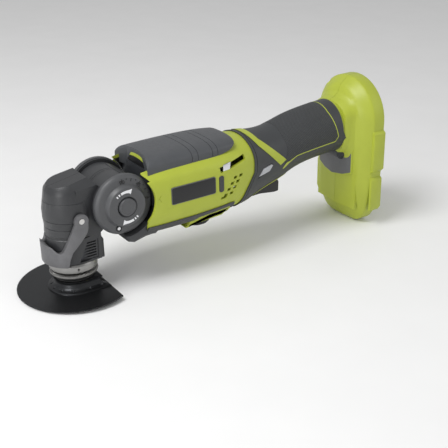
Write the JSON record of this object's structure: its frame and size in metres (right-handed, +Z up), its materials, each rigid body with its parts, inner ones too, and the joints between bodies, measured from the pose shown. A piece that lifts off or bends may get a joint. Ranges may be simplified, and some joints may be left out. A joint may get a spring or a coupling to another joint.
{
  "type": "cordless oscillating multi-tool",
  "caption": "Battery oscillating multi-tool with a tilting head, lever-released accessory clamp, half-round saw blade, speed dial and trigger.",
  "frame": {"origin": "on the spindle axis at the accessory seat, where the blade's hub meets the clamp flange", "axes": "+Z up the spindle, +X towards the battery end, +Y to the tool's right side"},
  "size_m": [0.325, 0.088, 0.1318],
  "materials": {
    "lime_shell": "fine-textured lime nylon",
    "soft_grip": "soft-touch over-moulding",
    "dark_plastic": "dark grey nylon",
    "disc_plastic": "dark grey nylon with a satin face",
    "black_plastic": "black nylon",
    "silver_button": "silver grey plastic",
    "cast_alloy": "die-cast and painted dark",
    "cast_lever": "tumbled cast steel",
    "machined_steel": "turned",
    "bearing_steel": "polished",
    "fastener_steel": "zinc plated",
    "spring_steel": "drawn wire",
    "can_steel": "plated sheet",
    "magnet": "sintered ferrite",
    "winding": "enamelled copper on laminations",
    "carbon": "pressed carbon",
    "contact_brass": "plated",
    "board": "laminate",
    "blade_steel": "black-coated tool steel"
  },
  "bodies": {
    "housing": {"left_housing": "lime_shell", "right_housing": "lime_shell", "left_foot": "lime_shell", "right_foot": "lime_shell", "left_barrel_grip": "soft_grip", "right_barrel_grip": "soft_grip", "left_handle_grip": "soft_grip", "right_handle_grip": "soft_grip", "chin_guard": "dark_plastic", "dial_guard": "lime_shell", "badge_plates": "black_plastic", "housing_screws": "fastener_steel", "pivot_yoke": "cast_alloy", "motor_can": "can_steel", "motor_magnets": "magnet", "motor_end_cap": "black_plastic", "motor_brushes": "carbon", "front_motor_bearing": "bearing_steel", "rear_motor_bearing": "bearing_steel", "drum_cover": "dark_plastic", "speed_board": "board", "switch_body": "black_plastic", "trigger_spring": "spring_steel", "terminal_block": "black_plastic", "battery_terminals": "contact_brass"},
    "rotor": {"rotor_shaft": "machined_steel", "rotor_core": "winding", "commutator": "winding", "motor_fan": "black_plastic", "motor_pinion": "machined_steel"},
    "crown": {"crown_gear": "machined_steel", "crown_axle": "machined_steel"},
    "head": {"left_head_cover": "dark_plastic", "right_head_cover": "dark_plastic", "left_scale_disc": "disc_plastic", "right_scale_disc": "disc_plastic", "disc_screws": "fastener_steel", "release_spring": "spring_steel", "gear_case": "cast_alloy", "spindle_bearings": "bearing_steel", "shaft_bearing": "bearing_steel", "nose_collar": "machined_steel", "lever_pins": "machined_steel"},
    "release_button": {"release_button": "disc_plastic"},
    "eccentric": {"eccentric_shaft": "machined_steel", "eccentric_pinion": "machined_steel", "eccentric_bearing": "bearing_steel"},
    "spindle": {"spindle": "machined_steel", "rocker_fork": "machined_steel", "clamp_flange": "machined_steel", "clamp_spring": "spring_steel", "blade": "blade_steel"},
    "clamp_bolt": {"clamp_bolt": "machined_steel"},
    "clamp_lever": {"clamp_lever": "cast_lever"},
    "trigger": {"trigger": "black_plastic"},
    "lock_button": {"lock_button": "silver_button"},
    "speed_dial": {"speed_dial": "black_plastic"}
  },
  "joints": [
    {"name": "head_tilt", "type": "hinge", "parent": "housing", "child": "head", "pos_m": [0.034, 0, 0.056], "axis": [0, 1, 0], "range_deg": [0, 90]},
    {"name": "rotor_spin", "type": "hinge", "parent": "housing", "child": "rotor", "pos_m": [0.06, 0, 0.056], "axis": [1, 0, 0], "continuous": true},
    {"name": "crown_spin", "type": "hinge", "parent": "housing", "child": "crown", "pos_m": [0.034, 0, 0.056], "axis": [0, 1, 0], "continuous": true},
    {"name": "eccentric_spin", "type": "hinge", "parent": "head", "child": "eccentric", "pos_m": [0.02, 0, 0.056], "axis": [1, 0, 0], "continuous": true},
    {"name": "release_press", "type": "slide", "parent": "head", "child": "release_button", "axis": [0, 1, 0], "range_m": [0, 0.0022], "stiffness_N_per_m": 900, "springref_m": -0.001, "deforming": ["release_spring"]},
    {"name": "spindle_rock", "type": "hinge", "parent": "head", "child": "spindle", "pos_m": [0, 0, 0], "axis": [0, 0, 1], "range_deg": [-1.6, 1.6]},
    {"name": "clamp_slide", "type": "slide", "parent": "spindle", "child": "clamp_bolt", "axis": [0, 0, -1], "range_m": [0, 0.003], "deforming": ["clamp_spring"]},
    {"name": "lever_swing", "type": "hinge", "parent": "head", "child": "clamp_lever", "pos_m": [0, 0, 0.0511], "axis": [0, 1, 0], "range_deg": [0, 95]},
    {"name": "trigger_pull", "type": "hinge", "parent": "housing", "child": "trigger", "pos_m": [0.157, 0, 0.0316], "axis": [0, -1, 0], "range_deg": [0, 6], "stiffness_Nm_per_rad": 0.6, "springref_deg": -5.73, "deforming": ["trigger_spring"]},
    {"name": "lock_press", "type": "slide", "parent": "housing", "child": "lock_button", "axis": [0, 1, 0], "range_m": [0, 0.002], "stiffness_N_per_m": 700, "springref_m": -0.001},
    {"name": "dial_turn", "type": "hinge", "parent": "housing", "child": "speed_dial", "pos_m": [0.109, 0, 0.018], "axis": [0, 0, 1], "range_deg": [-130, 130]}
  ],
  "couplings": [
    {"joint": "crown_spin", "follows": "rotor_spin", "ratio": 0.33333},
    {"joint": "eccentric_spin", "follows": "rotor_spin", "ratio": -1},
    {"joint": "clamp_slide", "follows": "lever_swing", "m_per_rad": 0.0018093}
  ]
}
